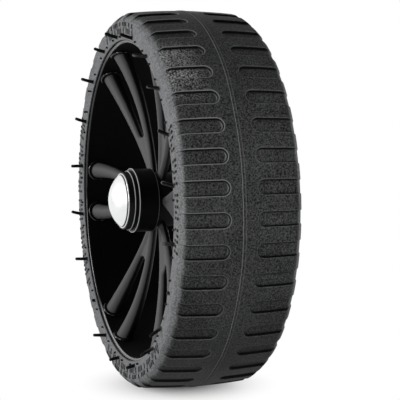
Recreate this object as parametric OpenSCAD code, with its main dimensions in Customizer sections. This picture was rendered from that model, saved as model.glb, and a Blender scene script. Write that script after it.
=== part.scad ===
// Wide wheel for a garden machine: a rubber tyre on a one-piece plastic rim with forked round
// spokes, two ball bearings in the hub, and a black hub cap that carries a bright dome.
// The axle lies along Y, the capped outer face looks towards -Y, and the origin is the centre.

/* [Tyre] */
// Outside diameter at the middle of the tread
tyre_d = 250; // [200:1:300]
// Height of the tyre above its seat on the rim
tyre_h = 18; // [14:0.5:30]
// How far each sidewall stands outside the edge of the rim
sidewall_proud = 2; // [0.5:0.1:5]
// How much lower the tread is at its edges than in the middle
crown_drop = 1.5; // [0.6:0.1:4]
// Width of the bevelled shoulder, measured along the axle
shoulder_w = 5.8; // [3:0.1:8]
// How far the shoulder falls from the edge of the tread to the sidewall
shoulder_h = 4.6; // [2:0.1:7]
// Radius of the shoulder's slight bulge
shoulder_r = 14; // [6:0.5:40]
// How far the sidewall dips from the shoulder to the bead
sidewall_dip = 0.8; // [0.2:0.1:1.4]
// Width of the rib under the tyre that keeps it from creeping sideways
key_rib_w = 10; // [4:1:24]
// Height of that rib
key_rib_h = 1.2; // [0.4:0.1:1.6]

/* [Tread] */
// Number of pockets round each side of the tread
pocket_count = 41; // [24:1:44]
// Width of a pocket, measured round the tyre
pocket_w = 9; // [5:0.1:11]
// Depth of a pocket below the tread
pocket_depth = 1.7; // [0.6:0.1:3]
// Plain band between the round ends of facing pockets
pocket_gap = 17.4; // [6:0.2:30]
// Turn of the first pocket from the X axis
pocket_turn = 0; // [-4:0.5:4]
// Width of the raised mould line round the middle of the tread
mould_line_w = 0.9; // [0.4:0.1:2]
// Height of that mould line
mould_line_h = 0.3; // [0.2:0.1:0.8]

/* [Vent whiskers] */
// Number of moulding whiskers round the outer sidewall
whisker_count = 20; // [8:1:40]
// Thickness of a whisker
whisker_d = 1.5; // [0.8:0.1:2.5]
// Length of a whisker outside the sidewall
whisker_len = 8.6; // [2:0.2:12]
// Distance from the bead to the whiskers
whisker_inset = 1.6; // [1.4:0.1:4]

/* [Rim] */
// Width of the rim over its two edges
rim_w = 73.6; // [68:0.2:90]
// Thickness of the barrel wall at its rounded edges
barrel_wall = 3; // [2.4:0.1:5]
// How much narrower the barrel is inside, at the spokes, than at its edges
barrel_draft = 0.9; // [0.2:0.1:2]

/* [Spokes] */
// Number of forked spokes
fork_count = 6; // [3:1:7]
// Turn of the first fork from the X axis
fork_turn = 1.4; // [-4:0.2:4]
// Angle between the two arms of a fork, where they meet the barrel
fork_spread = 16.6; // [13:0.2:24]
// Thickness of an arm at the barrel
arm_d = 11.8; // [8:0.2:13]
// Thickness of an arm at the hub
arm_root_d = 5.4; // [4:0.2:7.6]
// How late an arm grows thick on its way out, 1 for an even taper
arm_swell = 2.2; // [1:0.1:3]
// Distance between the two arms of a fork at the hub
root_split = 0.6; // [0.4:0.1:3.4]
// Distance from the rim's outer edge to the middle of an arm
arm_inset = 9.2; // [8:0.2:20]
// Shape of the sweep towards the outer edge, 1 for a straight spoke
sweep_power = 2; // [1:0.1:2.6]
// Diameter of the round collar at the foot of an arm
collar_d = 16; // [14:0.2:17.6]
// Height of that collar
collar_h = 1.6; // [0.6:0.1:3]
// Thickness of the web in the crotch of a fork
web_t = 2.6; // [1.2:0.2:5]
// How far the web reaches from the hub towards the barrel
web_len = 37; // [22:0.5:46]

/* [Hub] */
// Outside diameter of the hub tube
hub_d = 36; // [34:0.5:40]
// Length of the hub tube
hub_len = 62; // [56:0.5:70]
// Distance from the hub's outer end to the middle of the spokes' roots
root_inset = 16.4; // [15.4:0.2:24]
// Diameter of the bore between the bearings
hub_bore_d = 22; // [18:0.2:24]

/* [Bearings] */
// Bore of the bearings, which is the axle's diameter
axle_d = 10; // [8:0.1:10.4]
// Outside diameter of a bearing
bearing_d = 26; // [25.4:0.1:28]
// Width of a bearing
bearing_w = 8; // [7:0.1:9]
// Distance from the hub's end to the face of its bearing
bearing_inset = 4; // [3:0.1:6]
// Diameter of a ball
ball_d = 4.76; // [4:0.02:5]
// Number of balls in a bearing
ball_count = 7; // [5:1:8]
// Clearance between a ball and what it runs in
ball_fit = 0.06; // [0.02:0.01:0.1]
// Thickness of a bearing shield
shield_t = 0.4; // [0.3:0.05:0.6]

/* [Axle fittings] */
// Outside diameter of the spacer tube between the inner rings
spacer_d = 14; // [12:0.2:14.4]
// Outside diameter of the washers
washer_d = 17; // [15:0.2:19]
// Thickness of a washer
washer_t = 1.4; // [0.8:0.1:1.8]
// Thickness of the circlips that hold the bearings
circlip_t = 1.2; // [0.8:0.1:1.6]
// Depth of the circlip groove
circlip_groove = 0.6; // [0.3:0.05:1]
// Diameter of the push-on fastener
fastener_d = 18; // [15:0.2:20]
// Thickness of its sheet
fastener_t = 0.7; // [0.4:0.05:1]
// Height of its raised teeth
fastener_h = 2.6; // [1.4:0.1:3.4]

/* [Hub cap] */
// Outside diameter of the sleeve of the hub cap
cap_d = 41.8; // [40:0.1:46]
// Distance from the hub's outer end back to the edge of the sleeve
cap_grip = 11.4; // [6:0.1:11.6]
// Diameter of the raised ring near the front of the cap
cap_ring_d = 42.6; // [42:0.1:48]
// Width of that ring
cap_ring_w = 1.4; // [0.8:0.1:3]
// Distance from the hub's outer end to the raised ring
cap_ring_at = 0.8; // [0.2:0.1:2]
// Diameter of the step in front of the ring
cap_step_d = 39.4; // [38.6:0.1:41]
// Length of that step
cap_step_w = 2.6; // [1.5:0.1:4]
// Length of the sloping collar between the step and the dome
cap_nose_w = 3.6; // [2.4:0.1:5]
// Thickness of the cap's front wall
cap_wall = 1.5; // [1:0.1:2.2]
// Diameter of the dome at its edge
dome_d = 36.4; // [34:0.1:37.6]
// Height of the dome above its edge
dome_h = 8.4; // [5:0.1:12]
// Thickness of the dome's sheet
dome_t = 0.8; // [0.5:0.05:1.2]
// Depth of the dome's skirt inside the cap
dome_skirt = 2; // [1:0.1:2.2]

/* [Hidden] */
$fn = 96;
tyre_r = tyre_d / 2;
seat_r = tyre_r - tyre_h;
rim_half = rim_w / 2;
tyre_half = rim_half + sidewall_proud;
tread_half = tyre_half - shoulder_w;
crown_r = (pow(tread_half, 2) + pow(crown_drop, 2)) / (2 * crown_drop);
shoulder_top = tyre_r - crown_drop;
shoulder_foot = shoulder_top - shoulder_h;
barrel_r = seat_r - barrel_wall;
waist_r = barrel_r - barrel_draft;
hub_r = hub_d / 2;
hub_half = hub_len / 2;
arm_z = rim_half - arm_inset;
arm_from = hub_r - 2.5;
arm_foot_r = waist_r + barrel_wall / 3;
arm_to = arm_foot_r * cos(fork_spread / 2);
root_z = hub_half - root_inset;
bearing_z = hub_half - bearing_inset - bearing_w / 2;
bearing_r = bearing_d / 2;
bearing_face = bearing_z + bearing_w / 2;
spacer_half = bearing_z - bearing_w / 2;
pitch_r = (bearing_d + axle_d) / 4;
ball_r = ball_d / 2;
race_r = ball_r + ball_fit;
ring_wall = (bearing_r - axle_d / 2) * 0.3;
inner_land_r = axle_d / 2 + ring_wall;
outer_land_r = bearing_r - ring_wall;
shield_seat = 0.6;
shield_inset = 0.3;
shield_gap = 0.25;
cage_gap = 0.25;
washer_face = bearing_face + washer_t;
cap_ring_z = hub_half + cap_ring_at;
cap_step_z = cap_ring_z + cap_ring_w;
cap_nose_z = cap_step_z + cap_step_w;
dome_z = cap_nose_z + cap_nose_w;
dome_r = dome_d / 2;
dome_ball_r = (pow(dome_r, 2) + pow(dome_h, 2)) / (2 * dome_h);
skirt_z = dome_z - dome_skirt;

// Turns a model built round Z so that its outer side, +Z, looks along -Y
module on_axle() {
    rotate([90, 0, 0]) children();
}

// A revolved ring between two radii and two heights
module ring(inner, outer, low, high) {
    rotate_extrude($fn = 180) translate([inner, low]) square([outer - inner, high - low]);
}

// Section of the tyre without its pockets
module tyre_section() {
    chord = norm([shoulder_w, shoulder_h]);
    bulge = sqrt(pow(shoulder_r, 2) - pow(chord / 2, 2)) / chord;
    bulge_x = (shoulder_top + shoulder_foot) / 2 - bulge * shoulder_w;
    bulge_z = (tread_half + tyre_half) / 2 - bulge * shoulder_h;
    difference() {
        intersection() {
            translate([tyre_r - crown_r, 0]) circle(r = crown_r, $fn = 720);
            union() {
                translate([0, -tread_half]) square([tyre_r + 1, 2 * tread_half]);
                for (side = [-1, 1]) {
                    intersection() {
                        translate([bulge_x, side * bulge_z]) circle(r = shoulder_r, $fn = 180);
                        translate([shoulder_foot, side * (tread_half + tyre_half) / 2])
                            square([2 * shoulder_h, shoulder_w], center = true);
                    }
                    polygon([
                        [0, 0],
                        [shoulder_foot, 0],
                        [shoulder_foot, side * tyre_half],
                        [seat_r, side * (tyre_half - sidewall_dip)],
                        [0, side * (tyre_half - sidewall_dip)]
                    ]);
                }
            }
        }
        translate([0, -tyre_half - 1]) square([seat_r, 2 * tyre_half + 2]);
    }
    translate([seat_r - key_rib_h, -key_rib_w / 2]) square([key_rib_h + 1, key_rib_w]);
    translate([tyre_r - 1, -mould_line_w / 2]) square([1 + mould_line_h, mould_line_w]);
}

// Radius of the crown at a distance from the middle of the tread
function crown_at(z) = tyre_r - crown_r + sqrt(pow(crown_r, 2) - pow(z, 2));

// One pocket along +X: round towards the middle, open at the shoulder, its floor along the crown
module pocket() {
    start = pocket_gap / 2;
    length = tread_half - start;
    rise = crown_at(start) - crown_at(tread_half);
    translate([crown_at(start) - pocket_depth, 0, start]) rotate([0, 90 - atan2(rise, length), 0])
        linear_extrude(pocket_depth + crown_drop + 1) {
            translate([-pocket_w / 2, 0]) circle(d = pocket_w, $fn = 32);
            translate([-length - 2 * shoulder_w, -pocket_w / 2])
                square([length + 2 * shoulder_w - pocket_w / 2, pocket_w]);
        }
}

module tyre() {
    color("#343536") on_axle() {
        difference() {
            rotate_extrude($fn = 180) tyre_section();
            for (i = [0 : pocket_count - 1], side = [-1, 1])
                rotate([0, 0, pocket_turn + i * 360 / pocket_count])
                    scale([1, 1, side]) pocket();
        }
        for (i = [0 : whisker_count - 1])
            rotate([0, 0, (i + 0.5) * 360 / whisker_count])
                translate([seat_r + whisker_inset, 0, tyre_half - 2 * sidewall_dip])
                    cylinder(h = whisker_len + 2 * sidewall_dip, d = whisker_d, $fn = 24);
    }
}

// Section of the barrel, with rounded edges, draft both ways and a groove for the tyre's rib
module barrel_section() {
    edge = barrel_wall / 2;
    difference() {
        union() {
            polygon([
                [barrel_r, rim_half - edge], [seat_r, rim_half - edge],
                [seat_r, edge - rim_half], [barrel_r, edge - rim_half],
                [waist_r, arm_z]
            ]);
            for (side = [-1, 1])
                translate([seat_r - edge, side * (rim_half - edge)]) circle(r = edge, $fn = 32);
        }
        translate([seat_r - key_rib_h, -key_rib_w / 2]) square([key_rib_h + 1, key_rib_w]);
    }
}

// Height of a spoke's middle line at a distance from the axle
function spoke_z(r) =
    root_z + (arm_z - root_z) * pow(max(0, r - hub_r) / (waist_r - hub_r), sweep_power);
// How far a point has come from the hub to the foot of its arm, from 0 to 1
function arm_share(r) = max(0, r - hub_r) / (arm_to - hub_r);
// Distance of an arm's middle line from the middle of its fork: the arms part fast, then slowly
function arm_offset(r) =
    root_split / 2 + (arm_foot_r * sin(fork_spread / 2) - root_split / 2) * sin(90 * arm_share(r));
// Point on the middle line of the arm on one side
function arm_point(r, side) = [r, side * arm_offset(r), spoke_z(r)];
// Thickness of an arm at a distance from the axle
function arm_thick(r) = arm_root_d + (arm_d - arm_root_d) * pow(arm_share(r), arm_swell);

// One arm: a bar that sweeps sideways and towards the outer edge as it grows thicker
module arm(side) {
    sides = 14;
    rings = 9;
    step = (arm_to - arm_from) / rings;
    points = [for (k = [0 : rings]) let (
        r = arm_from + k * step,
        way = arm_point(min(r + 1, arm_to), side) - arm_point(max(r - 1, arm_from), side),
        across = cross([0, 0, 1], way) / norm(cross([0, 0, 1], way)),
        up = cross(way, across) / norm(way)
    ) for (j = [0 : sides - 1]) let (a = j * 360 / sides)
        arm_point(r, side) + arm_thick(r) / 2 * (cos(a) * across + sin(a) * up)];
    skin = [for (k = [0 : rings - 1], j = [0 : sides - 1]) let (
        a = k * sides + j,
        b = k * sides + (j + 1) % sides
    ) each [[a, a + sides, b + sides], [a, b + sides, b]]];
    ends = [[for (j = [0 : sides - 1]) j], [for (j = [sides - 1 : -1 : 0]) rings * sides + j]];
    polyhedron(points, concat(ends, skin));
}

// One forked spoke along +X: two arms, a collar at each foot, and a web in the crotch
module fork() {
    web_to = hub_r + web_len;
    web_side = arm_offset(web_to);
    web_slope = atan2(spoke_z(web_to) - root_z, web_len);
    for (side = [-1, 1]) {
        arm(side);
        rotate([0, 0, side * fork_spread / 2]) translate([waist_r - collar_h, 0, arm_z])
            rotate([0, 90, 0]) cylinder(h = collar_h + 2, d1 = collar_d - 1.4, d2 = collar_d);
    }
    translate([hub_r, 0, root_z]) rotate([0, -web_slope, 0]) translate([-2, 0, -web_t / 2])
        linear_extrude(web_t) difference() {
            polygon([[0, 0], [web_len + 2, web_side], [web_len + 2, -web_side]]);
            translate([web_len + 2, 0]) circle(r = web_side * 0.7, $fn = 32);
        }
}

module rim() {
    color("#151617") on_axle() difference() {
        union() {
            rotate_extrude($fn = 180) barrel_section();
            cylinder(h = hub_len, d = hub_d, center = true);
            for (i = [0 : fork_count - 1])
                rotate([0, 0, fork_turn + i * 360 / fork_count]) fork();
        }
        cylinder(h = hub_len + 2, d = hub_bore_d, center = true);
        for (side = [-1, 1]) {
            translate([0, 0, side * (spacer_half + hub_len / 2)])
                cylinder(h = hub_len, r = bearing_r, center = true);
            translate([0, 0, side * (bearing_face + circlip_t / 2)])
                cylinder(h = circlip_t, r = bearing_r + circlip_groove, center = true);
        }
    }
}

// The cap grips the front of the hub, stops on its end and carries the dome in front
module hub_cap() {
    nose_r = dome_r + 0.6;
    room_z = skirt_z - cap_wall;
    color("#1b1c1d") on_axle() difference() {
        union() {
            translate([0, 0, hub_half - cap_grip]) cylinder(h = cap_grip + cap_ring_at + 0.5, d = cap_d);
            translate([0, 0, cap_ring_z]) cylinder(h = cap_ring_w, d = cap_ring_d);
            translate([0, 0, cap_step_z]) cylinder(h = cap_step_w, d = cap_step_d);
            translate([0, 0, cap_nose_z]) cylinder(h = cap_nose_w, d1 = cap_step_d - 0.8, r2 = nose_r);
        }
        translate([0, 0, hub_half - cap_grip - 1]) cylinder(h = cap_grip + 1, r = hub_r);
        translate([0, 0, hub_half - 1]) cylinder(h = room_z - hub_half + 1, r = hub_r - 2);
        translate([0, 0, skirt_z]) cylinder(h = dome_skirt + 1, r = dome_r);
    }
}

// A drawn dome with a short skirt that stands in the nose of the cap
module cap_dome() {
    centre = dome_z + dome_h - dome_ball_r;
    color("#e4e6e8") on_axle() rotate_extrude($fn = 180) {
        intersection() {
            difference() {
                translate([0, centre]) circle(r = dome_ball_r, $fn = 180);
                translate([0, centre]) circle(r = dome_ball_r - dome_t, $fn = 180);
            }
            translate([0, dome_z]) square([dome_r, dome_h + 1]);
        }
        translate([dome_r - dome_t, skirt_z]) square([dome_t, dome_skirt + dome_t]);
    }
}

// Puts a bearing part at the front, side 1, or at the rear, side -1, with its outside outwards
module at_bearing(side) {
    on_axle() scale([1, 1, side]) translate([0, 0, bearing_z]) children();
}

module outer_ring(side) {
    color("#c9cccf") at_bearing(side) rotate_extrude($fn = 120) difference() {
        translate([outer_land_r, -bearing_w / 2]) square([bearing_r - outer_land_r, bearing_w]);
        translate([pitch_r, 0]) circle(r = race_r, $fn = 48);
        for (face = [-1, 1])
            translate([0, face * (bearing_w / 2) - (shield_t + shield_inset)])
                square([outer_land_r + shield_seat, 2 * (shield_t + shield_inset)]);
    }
}

module inner_ring(side) {
    color("#c9cccf") at_bearing(side) rotate_extrude($fn = 120) difference() {
        translate([axle_d / 2, -bearing_w / 2]) square([inner_land_r - axle_d / 2, bearing_w]);
        translate([pitch_r, 0]) circle(r = race_r, $fn = 48);
    }
}

module balls(side) {
    color("#dfe2e4") at_bearing(side)
        for (i = [0 : ball_count - 1]) rotate([0, 0, i * 360 / ball_count])
            translate([pitch_r, 0, 0]) sphere(r = ball_r, $fn = 32);
}

module cage(side) {
    half = bearing_w / 2 - shield_t - shield_inset - cage_gap;
    color("#b98f4a") at_bearing(side) difference() {
        ring(inner_land_r + cage_gap, outer_land_r - cage_gap, -half, half);
        for (i = [0 : ball_count - 1]) rotate([0, 0, i * 360 / ball_count]) rotate([0, 90, 0])
            cylinder(h = bearing_r, r = race_r, $fn = 32);
    }
}

// A shield, pressed into the step of the outer ring on one face of the bearing
module shield(side, face) {
    color("#a9adb0") at_bearing(side) scale([1, 1, face])
        translate([0, 0, bearing_w / 2 - shield_inset - shield_t])
            ring(inner_land_r + shield_gap, outer_land_r + shield_seat, 0, shield_t);
}

// An internal circlip: an open ring with two eared ends
module circlip(side) {
    outer = bearing_r + circlip_groove;
    inner = bearing_r - 1.9;
    ear_r = 1.9;
    color("#5d6063") on_axle() scale([1, 1, side]) translate([0, 0, bearing_face])
        rotate([0, 0, -90]) linear_extrude(circlip_t) difference() {
            union() {
                difference() {
                    circle(r = outer);
                    circle(r = inner);
                    translate([-1.6, 0]) square([3.2, outer + 1]);
                }
                for (x = [-1, 1]) intersection() {
                    translate([x * (ear_r + 1.6), inner - 0.6]) circle(r = ear_r, $fn = 32);
                    circle(r = inner + 1);
                }
            }
            for (x = [-1, 1]) translate([x * (ear_r + 1.5), inner - 0.9]) circle(r = 0.8, $fn = 24);
        }
}

module spacer_tube() {
    color("#9da1a4") on_axle() ring(axle_d / 2, spacer_d / 2, -spacer_half, spacer_half);
}

module washer(side) {
    color("#b4b7ba") on_axle() scale([1, 1, side])
        ring(axle_d / 2, washer_d / 2, bearing_face, washer_face);
}

// A spring fastener pushed on the end of the axle: a flat rim and a cone split into teeth, which
// the axle has spread a little
module push_on_fastener() {
    teeth = 6;
    slot_w = 1;
    bore = axle_d / 2 + 0.2;
    cone_r = bore + 2.2;
    color("#6d7073") on_axle() difference() {
        translate([0, 0, washer_face]) rotate_extrude($fn = 120) polygon([
            [cone_r, 0], [fastener_d / 2, 0], [fastener_d / 2, fastener_t],
            [cone_r, fastener_t], [bore, fastener_h], [bore, fastener_h - fastener_t]
        ]);
        for (i = [0 : teeth - 1]) rotate([0, 0, (i + 0.5) * 360 / teeth])
            translate([bore - 1, -slot_w / 2, washer_face - 1])
                cube([cone_r - bore + 1, slot_w, fastener_h + 2]);
    }
}

tyre();
rim();
hub_cap();
cap_dome();
outer_ring(1);  // front_outer_ring
inner_ring(1);  // front_inner_ring
balls(1);  // front_balls
cage(1);  // front_cage
shield(1, 1);  // front_shield_outer
shield(1, -1);  // front_shield_inner
circlip(1);  // front_circlip
outer_ring(-1);  // rear_outer_ring
inner_ring(-1);  // rear_inner_ring
balls(-1);  // rear_balls
cage(-1);  // rear_cage
shield(-1, 1);  // rear_shield_outer
shield(-1, -1);  // rear_shield_inner
circlip(-1);  // rear_circlip
spacer_tube();
washer(1);  // front_washer
washer(-1);  // rear_washer
push_on_fastener();
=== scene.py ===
# Looks of a wide garden machine wheel: tyre, rim with forked spokes, hub cap and bearings
import math

import bmesh
import bpy
from mathutils import Matrix, Vector


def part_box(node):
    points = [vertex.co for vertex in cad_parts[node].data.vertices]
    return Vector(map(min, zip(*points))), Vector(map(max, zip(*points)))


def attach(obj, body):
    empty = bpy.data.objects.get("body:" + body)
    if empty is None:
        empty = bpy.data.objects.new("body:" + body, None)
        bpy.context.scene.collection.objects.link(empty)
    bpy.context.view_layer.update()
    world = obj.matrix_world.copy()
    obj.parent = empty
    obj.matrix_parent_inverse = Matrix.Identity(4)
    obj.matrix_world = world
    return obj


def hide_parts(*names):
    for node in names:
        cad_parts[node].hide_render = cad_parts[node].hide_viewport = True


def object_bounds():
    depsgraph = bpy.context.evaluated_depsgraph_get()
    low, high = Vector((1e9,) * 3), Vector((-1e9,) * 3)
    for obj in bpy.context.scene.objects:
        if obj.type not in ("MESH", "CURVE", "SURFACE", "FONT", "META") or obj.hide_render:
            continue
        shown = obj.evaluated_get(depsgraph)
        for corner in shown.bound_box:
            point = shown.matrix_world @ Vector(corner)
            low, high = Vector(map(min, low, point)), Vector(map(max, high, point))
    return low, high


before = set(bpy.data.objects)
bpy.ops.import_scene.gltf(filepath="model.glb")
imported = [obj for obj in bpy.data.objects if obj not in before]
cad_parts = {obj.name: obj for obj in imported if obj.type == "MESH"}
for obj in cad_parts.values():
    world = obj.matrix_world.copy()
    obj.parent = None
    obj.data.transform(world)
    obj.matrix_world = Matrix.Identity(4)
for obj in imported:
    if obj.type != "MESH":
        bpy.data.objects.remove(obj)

mm = 0.001
cadLow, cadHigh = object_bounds()
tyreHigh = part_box("tyre")[1]
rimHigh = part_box("rim")[1]
capLow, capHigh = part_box("hub_cap")
domeLow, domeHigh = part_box("cap_dome")
print("stage: frame loaded")


# Shapes are drawn in millimetres round the axle: x and y across it, z outwards, and y is up
def onAxle(x, y, z):
    return Vector((x, -z, y)) * mm


def around(radius, angle, z):
    return (radius * math.cos(angle), radius * math.sin(angle), z)


def clamp(value, low=0.0, high=1.0):
    return min(high, max(low, value))


def direction(azimuth, elevation):
    # from the wheel, in degrees: azimuth 0 is straight out of its outer side
    a, e = math.radians(azimuth), math.radians(elevation)
    return Vector((math.sin(a) * math.cos(e), -math.cos(a) * math.cos(e), math.sin(e)))


def joinRows(faces, first, rows, width):
    # joins points that were laid down row after row, from the first one on
    for i in range(rows - 1):
        for k in range(width - 1):
            a = first + i * width + k
            faces.append((a, a + 1, a + width + 1, a + width))


def revolve(shape, profile, steps):
    # adds a closed outline of (radius, z) points, turned round the axle, to a shape
    points, faces = shape
    first = len(points)
    count = len(profile)
    for step in range(steps):
        angle = step * 2 * math.pi / steps
        points.extend(around(radius, angle, z) for radius, z in profile)
    for step in range(steps):
        here, there = first + step * count, first + (step + 1) % steps * count
        for i in range(count):
            j = (i + 1) % count
            faces.append((here + i, here + j, there + j, there + i))


def roundCorners(corners, segments=4):
    # turns (radius, z, fillet) corners of a closed outline into points with curved corners
    points = []
    count = len(corners)
    for i, (radius, z, fillet) in enumerate(corners):
        corner = Vector((radius, z))
        before = Vector(corners[i - 1][:2]) - corner
        after = Vector(corners[(i + 1) % count][:2]) - corner
        if fillet <= 0:
            points.append((radius, z))
            continue
        half = before.angle(after) / 2
        reach = min(fillet / math.tan(half), before.length * 0.49, after.length * 0.49)
        start = corner + before.normalized() * reach
        end = corner + after.normalized() * reach
        for k in range(segments + 1):
            t = k / segments
            point = start * (1 - t) ** 2 + corner * 2 * t * (1 - t) + end * t ** 2
            points.append((point.x, point.y))
    return points


def buildMesh(name, shape, sharpAngle=40, extras=()):
    # makes one welded mesh of a shape and of finished meshes that join it
    points, faces = shape
    mesh = bpy.data.meshes.new(name)
    mesh.from_pydata([onAxle(*p) for p in points], [], faces)
    work = bmesh.new()
    work.from_mesh(mesh)
    for extra in extras:
        work.from_mesh(extra)
    bmesh.ops.remove_doubles(work, verts=work.verts, dist=0.004 * mm)
    bmesh.ops.dissolve_degenerate(work, edges=work.edges, dist=0.001 * mm)
    bmesh.ops.recalc_face_normals(work, faces=work.faces)
    work.to_mesh(mesh)
    work.free()
    mesh.shade_smooth()
    mesh.set_sharp_from_angle(angle=math.radians(sharpAngle))
    return mesh


def addObject(name, data):
    made = bpy.data.objects.new(name, data)
    bpy.context.scene.collection.objects.link(made)
    return made


def addPiece(name, mesh, materials, body, node):
    piece = addObject(name, mesh)
    for material in materials:
        mesh.materials.append(material)
    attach(piece, body)
    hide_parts(node)


def polar(point):
    # the radius and the z of a mesh's point, in millimetres
    return point.xz.length / mm, -point.y / mm


def mark(mesh, name, values):
    # gives each point a value that the material reads by its name
    mesh.attributes.new(name, "FLOAT", "POINT").data.foreach_set("value", values)


# Materials
def hexColour(code):
    # sRGB hex to the linear colour that a shader takes
    parts = [int(code[i:i + 2], 16) / 255 for i in (1, 3, 5)]
    linear = [p / 12.92 if p <= 0.04045 else ((p + 0.055) / 1.055) ** 2.4 for p in parts]
    return (*linear, 1.0)


def newMaterial(name):
    material = bpy.data.materials.new(name)
    material.use_nodes = True
    return material, material.node_tree.nodes["Principled BSDF"]


def addNode(tree, kind, settings=None, inputs=None):
    # adds a node; an input is a value, or another node's output to link to it
    node = tree.nodes.new(kind)
    for key, value in (settings or {}).items():
        setattr(node, key, value)
    for key, value in (inputs or {}).items():
        if isinstance(value, bpy.types.NodeSocket):
            tree.links.new(value, node.inputs[key])
        else:
            node.inputs[key].default_value = value
    return node


def mixColours(tree, share, below, above):
    return addNode(tree, "ShaderNodeMix", {"data_type": "RGBA"}, {
        "Factor": share, 6: below, 7: above}).outputs[2]


def markOf(tree, name):
    return addNode(tree, "ShaderNodeAttribute", {"attribute_name": name}).outputs["Fac"]


def noise(tree, vector, sizeMm, detail, roughness=0.5, distortion=0.0):
    return addNode(tree, "ShaderNodeTexNoise", None, {
        "Vector": vector, "Scale": 1 / (sizeMm * mm), "Detail": detail,
        "Roughness": roughness, "Distortion": distortion}).outputs["Fac"]


def roughen(tree, shader, pattern, spread, low, high):
    # the roughness follows a pattern, whose values lie within spread of a half
    rough = addNode(tree, "ShaderNodeMapRange", None, {
        "Value": pattern, "From Min": 0.5 - spread, "From Max": 0.5 + spread,
        "To Min": low, "To Max": high})
    tree.links.new(rough.outputs["Result"], shader.inputs["Roughness"])


def emboss(tree, shader, pattern, amount):
    # the skin follows a pattern; amount is its strength and its height in millimetres
    bump = addNode(tree, "ShaderNodeBump", None, {
        "Height": pattern, "Strength": amount, "Distance": amount * mm})
    tree.links.new(bump.outputs["Normal"], shader.inputs["Normal"])


def mouldedRubber():
    # Vulcanised natural rubber, moulded: near black and dull on the tread, where the mould was
    # blasted, and grey with bloom and painted sheen on the sidewalls. Painted shade darkens the
    # walls of the pockets and painted highlights light their edges. The real grain is 0.3 mm; it
    # is drawn at 1 mm to show.
    material, shader = newMaterial("mouldedRubber")
    tree = material.node_tree
    place = addNode(tree, "ShaderNodeTexCoord").outputs["Object"]
    grain = noise(tree, place, 1.0, 1.0, 0.6)
    bloom = noise(tree, place, 30, 5.0, 0.62)
    mixed = addNode(tree, "ShaderNodeMath", {"operation": "MULTIPLY_ADD"}, {
        0: bloom, 1: 0.3, 2: grain})

    def tones(low, high, dark, light):
        ramp = addNode(tree, "ShaderNodeValToRGB", None, {"Fac": mixed.outputs[0]})
        for element, position, colour in zip(ramp.color_ramp.elements, (low, high), (dark, light)):
            element.position = position
            element.color = hexColour(colour)
        return ramp.outputs["Color"]

    def marked(name, below, above):
        return mixColours(tree, markOf(tree, name), below, above)

    # the sidewall's grey: real bloom, drawn lighter still as painted sheen
    colour = marked("flank", tones(0.48, 0.88, "#101011", "#4b4c4d"),
                    tones(0.48, 0.88, "#5e5f61", "#8d8e8f"))
    # painted highlight: a speckled lighter stretch of the upper outer tread, as if lit from above
    colour = marked("treadGlint", colour, tones(0.54, 0.80, "#1d1d1d", "#b4b4b4"))
    # painted highlight on the pockets' rims, the mould line, whisker tips and round ends, stronger
    # towards the top
    colour = marked("edge", colour, hexColour("#858687"))
    # the groove mark: painted shade in the pockets' walls and at the ticks' feet, dirt on whiskers
    # and ticks, and the seat's darker tone
    colour = marked("groove", colour, hexColour("#040404"))
    tree.links.new(colour, shader.inputs["Base Color"])
    roughen(tree, shader, grain, 0.2, 0.62, 0.8)
    emboss(tree, shader, grain, 0.5)
    shader.inputs["IOR"].default_value = 1.52
    shader.inputs["Specular IOR Level"].default_value = 0.12
    return material


def mouldedPlastic(name, colour, light, roughness, grainMm, gloss=0.5, back=None):
    # Filled polypropylene, injection moulded, with faint flow marks and a slightly uneven skin.
    # The mould's own surface sets its shine: polished on the lips, etched in the barrel. Where
    # back is given, what faces away from the wheel's outer side is painted that dark colour:
    # painted shade on the sides that the light doesn't reach.
    material, shader = newMaterial(name)
    tree = material.node_tree
    place = addNode(tree, "ShaderNodeTexCoord").outputs["Object"]
    flow = noise(tree, place, 24, 3.0, distortion=0.4)
    moulded = mixColours(tree, flow, hexColour(colour), hexColour(light))
    if back:
        facing = addNode(tree, "ShaderNodeTexCoord").outputs["Normal"]
        outwards = addNode(tree, "ShaderNodeSeparateXYZ", None, {0: facing}).outputs["Y"]
        front = addNode(tree, "ShaderNodeMapRange", {"interpolation_type": "SMOOTHSTEP"}, {
            "Value": outwards, "From Min": -0.10, "From Max": -0.40})
        moulded = mixColours(tree, front.outputs["Result"], hexColour(back), moulded)
    # painted highlights on the lip's and the cap's edges
    highlighted = mixColours(tree, markOf(tree, "paintedHighlight"), moulded, hexColour("#d4d5d6"))
    tree.links.new(highlighted, shader.inputs["Base Color"])
    roughen(tree, shader, flow, 0.2, roughness - 0.04, roughness + 0.05)
    emboss(tree, shader, noise(tree, place, grainMm, 2.0), 0.12)
    shader.inputs["IOR"].default_value = 1.49
    shader.inputs["Specular IOR Level"].default_value = gloss
    return material


def worked(name, colour, dark, roughness, lineMm, stretch=1.0):
    # Steel with a worked surface: lineMm is the spacing of the marks that grinding, pressing or
    # polishing leaves, drawn out along the axle by stretch.
    material, shader = newMaterial(name)
    tree = material.node_tree
    place = addNode(tree, "ShaderNodeTexCoord").outputs["Object"]
    drawn = addNode(tree, "ShaderNodeMapping", None, {"Vector": place, "Scale": (1, stretch, 1)})
    marks = noise(tree, drawn.outputs["Vector"], lineMm, 4.0)
    steel = mixColours(tree, marks, hexColour(dark), hexColour(colour))
    soiled = mixColours(tree, markOf(tree, "grime"), steel, hexColour("#0c0c0d"))
    tree.links.new(soiled, shader.inputs["Base Color"])
    roughen(tree, shader, marks, 0.25, roughness * 0.8, roughness * 1.25)
    emboss(tree, shader, marks, 0.05)
    shader.inputs["Metallic"].default_value = 1.0
    return material


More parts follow.
